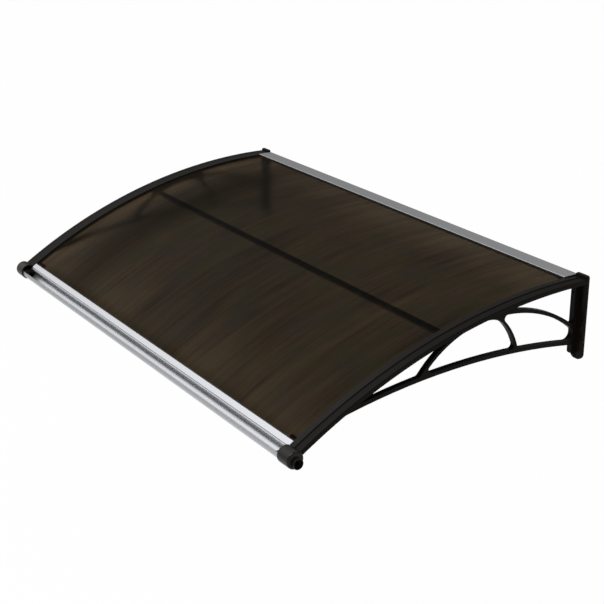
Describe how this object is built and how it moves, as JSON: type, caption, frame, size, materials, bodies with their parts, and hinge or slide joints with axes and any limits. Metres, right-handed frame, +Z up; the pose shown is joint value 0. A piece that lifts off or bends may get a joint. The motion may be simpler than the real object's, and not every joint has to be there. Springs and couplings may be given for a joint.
{
  "type": "door canopy",
  "caption": "Curved door canopy: a dark bronze sheet between black leaf-work wall brackets, with an aluminium gutter profile in front, end caps with drain spouts and a crossbar.",
  "frame": {"origin": "mid width, on the wall's face, at the middle of the wall profile's flat back", "axes": "+X along the wall, to the right for someone who looks at the wall; +Y into the wall; +Z up; the canopy reaches out towards -Y"},
  "size_m": [1.425, 0.8332, 0.2563],
  "materials": {
    "black_plastic": "satin black moulded plastic",
    "bronze_sheet": "dark bronze translucent polycarbonate with fine flutes from wall to front",
    "aluminium": "mill finish, extruded",
    "rubber": "matt",
    "zinc_screw": "zinc plated"
  },
  "bodies": {
    "root": {"bracket_left": "black_plastic", "bracket_right": "black_plastic", "crossbar": "aluminium", "end_cap_left": "black_plastic", "end_cap_right": "black_plastic", "front_profile": "aluminium", "front_screw_left": "zinc_screw", "front_screw_right": "zinc_screw", "front_seal": "rubber", "press_strip_left": "black_plastic", "press_strip_right": "black_plastic", "rear_screw_left": "zinc_screw", "rear_screw_right": "zinc_screw", "roof_sheet": "bronze_sheet", "strip_screw_left_1": "zinc_screw", "strip_screw_left_2": "zinc_screw", "strip_screw_left_3": "zinc_screw", "strip_screw_left_4": "zinc_screw", "strip_screw_left_5": "zinc_screw", "strip_screw_right_1": "zinc_screw", "strip_screw_right_2": "zinc_screw", "strip_screw_right_3": "zinc_screw", "strip_screw_right_4": "zinc_screw", "strip_screw_right_5": "zinc_screw", "wall_profile": "aluminium", "wall_seal": "rubber"}
  },
  "joints": []
}
